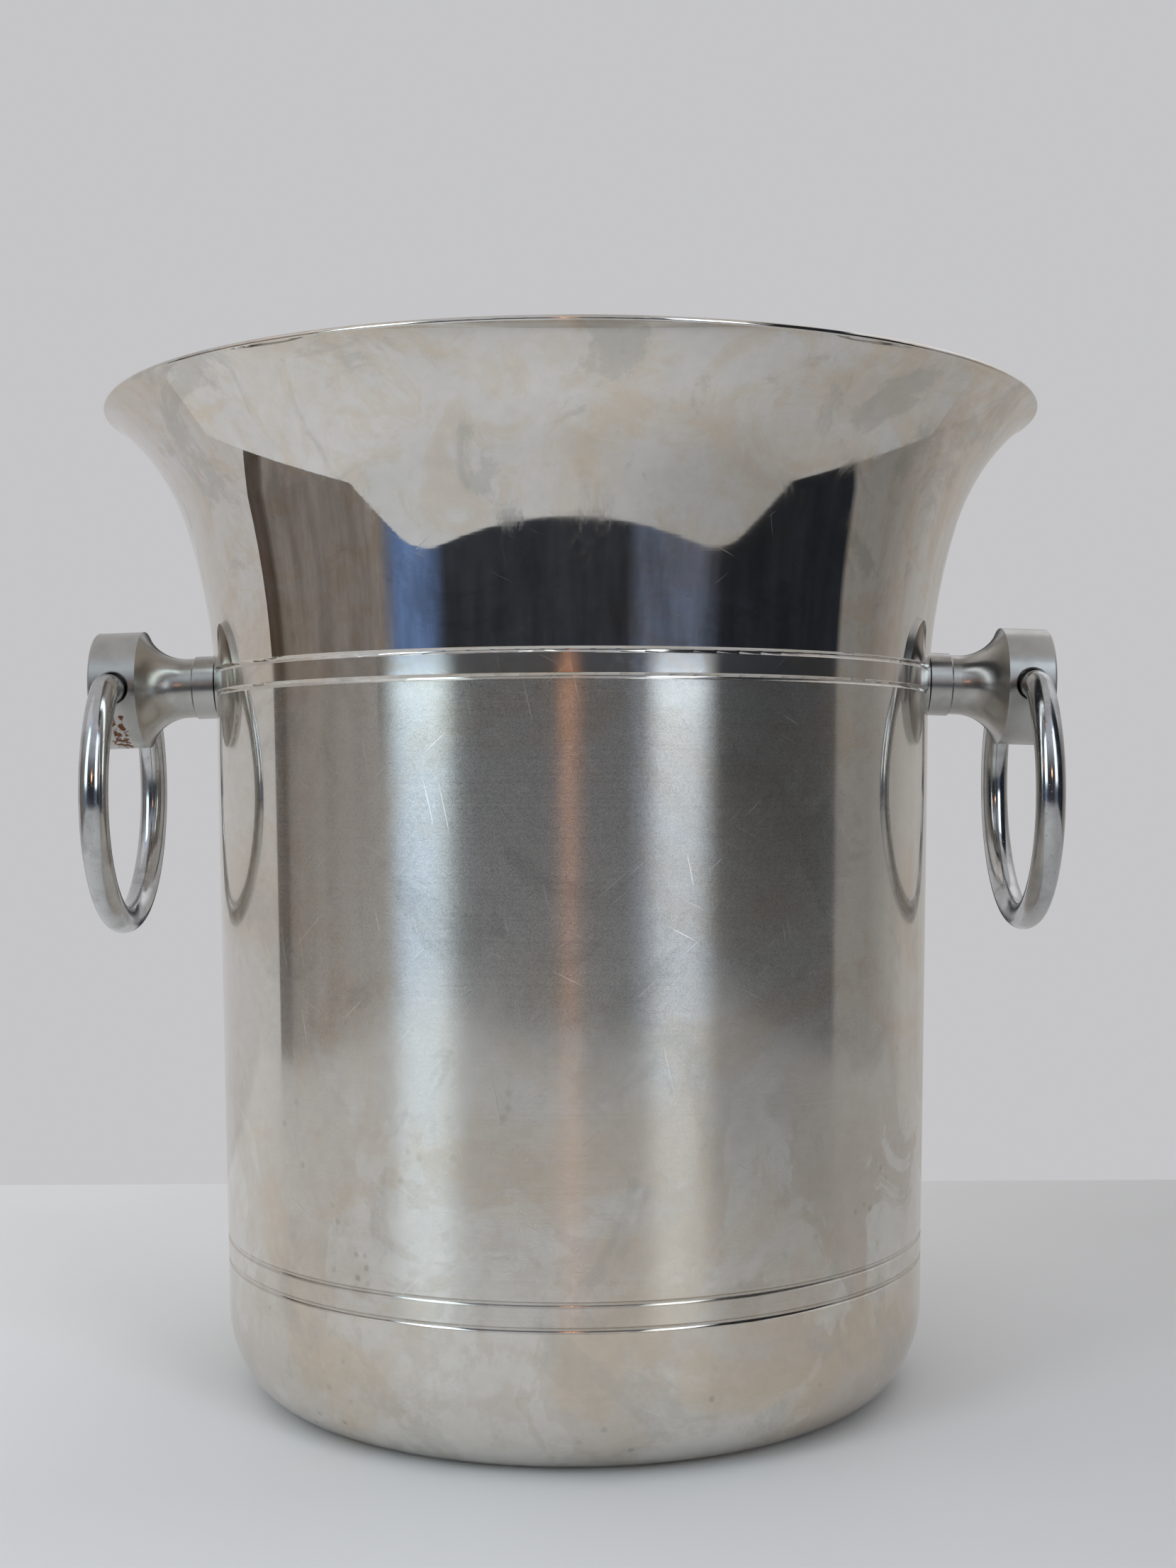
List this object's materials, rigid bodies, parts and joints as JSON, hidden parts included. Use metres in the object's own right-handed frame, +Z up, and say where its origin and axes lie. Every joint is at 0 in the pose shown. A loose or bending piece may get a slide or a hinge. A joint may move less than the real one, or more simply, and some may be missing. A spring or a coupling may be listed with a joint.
{
  "type": "champagne bucket",
  "caption": "Round metal bucket for cooling a bottle in ice: flared mouth, turned grooves, rounded foot, and a ring handle hanging from a turned boss at each side.",
  "frame": {"origin": "on the table, in the middle of the ring that the bucket stands on", "axes": "+Z up along the bucket's axis, +X towards the right handle as seen from the front, -Y towards the front"},
  "size_m": [0.2412, 0.2318, 0.2402],
  "materials": {
    "silver_shell": "silver plate: polished flare and groove band, satin wall turned round the axis, light tarnish",
    "silver_boss": "silver plate, turned satin with fine lathe rings",
    "silver_ring": "polished silver plate with light scratches",
    "steel": "plain stainless steel",
    "rubber": "matt black rubber"
  },
  "bodies": {
    "bucket": {"bucket_shell": "silver_shell", "left_boss": "silver_boss", "left_seat_washer": "silver_boss", "left_seal": "rubber", "left_backing_washer": "steel", "left_screw": "steel", "right_boss": "silver_boss", "right_seat_washer": "silver_boss", "right_seal": "rubber", "right_backing_washer": "steel", "right_screw": "steel"},
    "left_ring": {"left_ring": "silver_ring"},
    "right_ring": {"right_ring": "silver_ring"}
  },
  "joints": [
    {"name": "left_ring_swing", "type": "hinge", "parent": "bucket", "child": "left_ring", "pos_m": [-0.11414, 0, 0.17262], "axis": [0, 1, 0], "range_deg": [-22, 180]},
    {"name": "right_ring_swing", "type": "hinge", "parent": "bucket", "child": "right_ring", "pos_m": [0.11414, 0, 0.17262], "axis": [0, -1, 0], "range_deg": [-22, 180]}
  ]
}
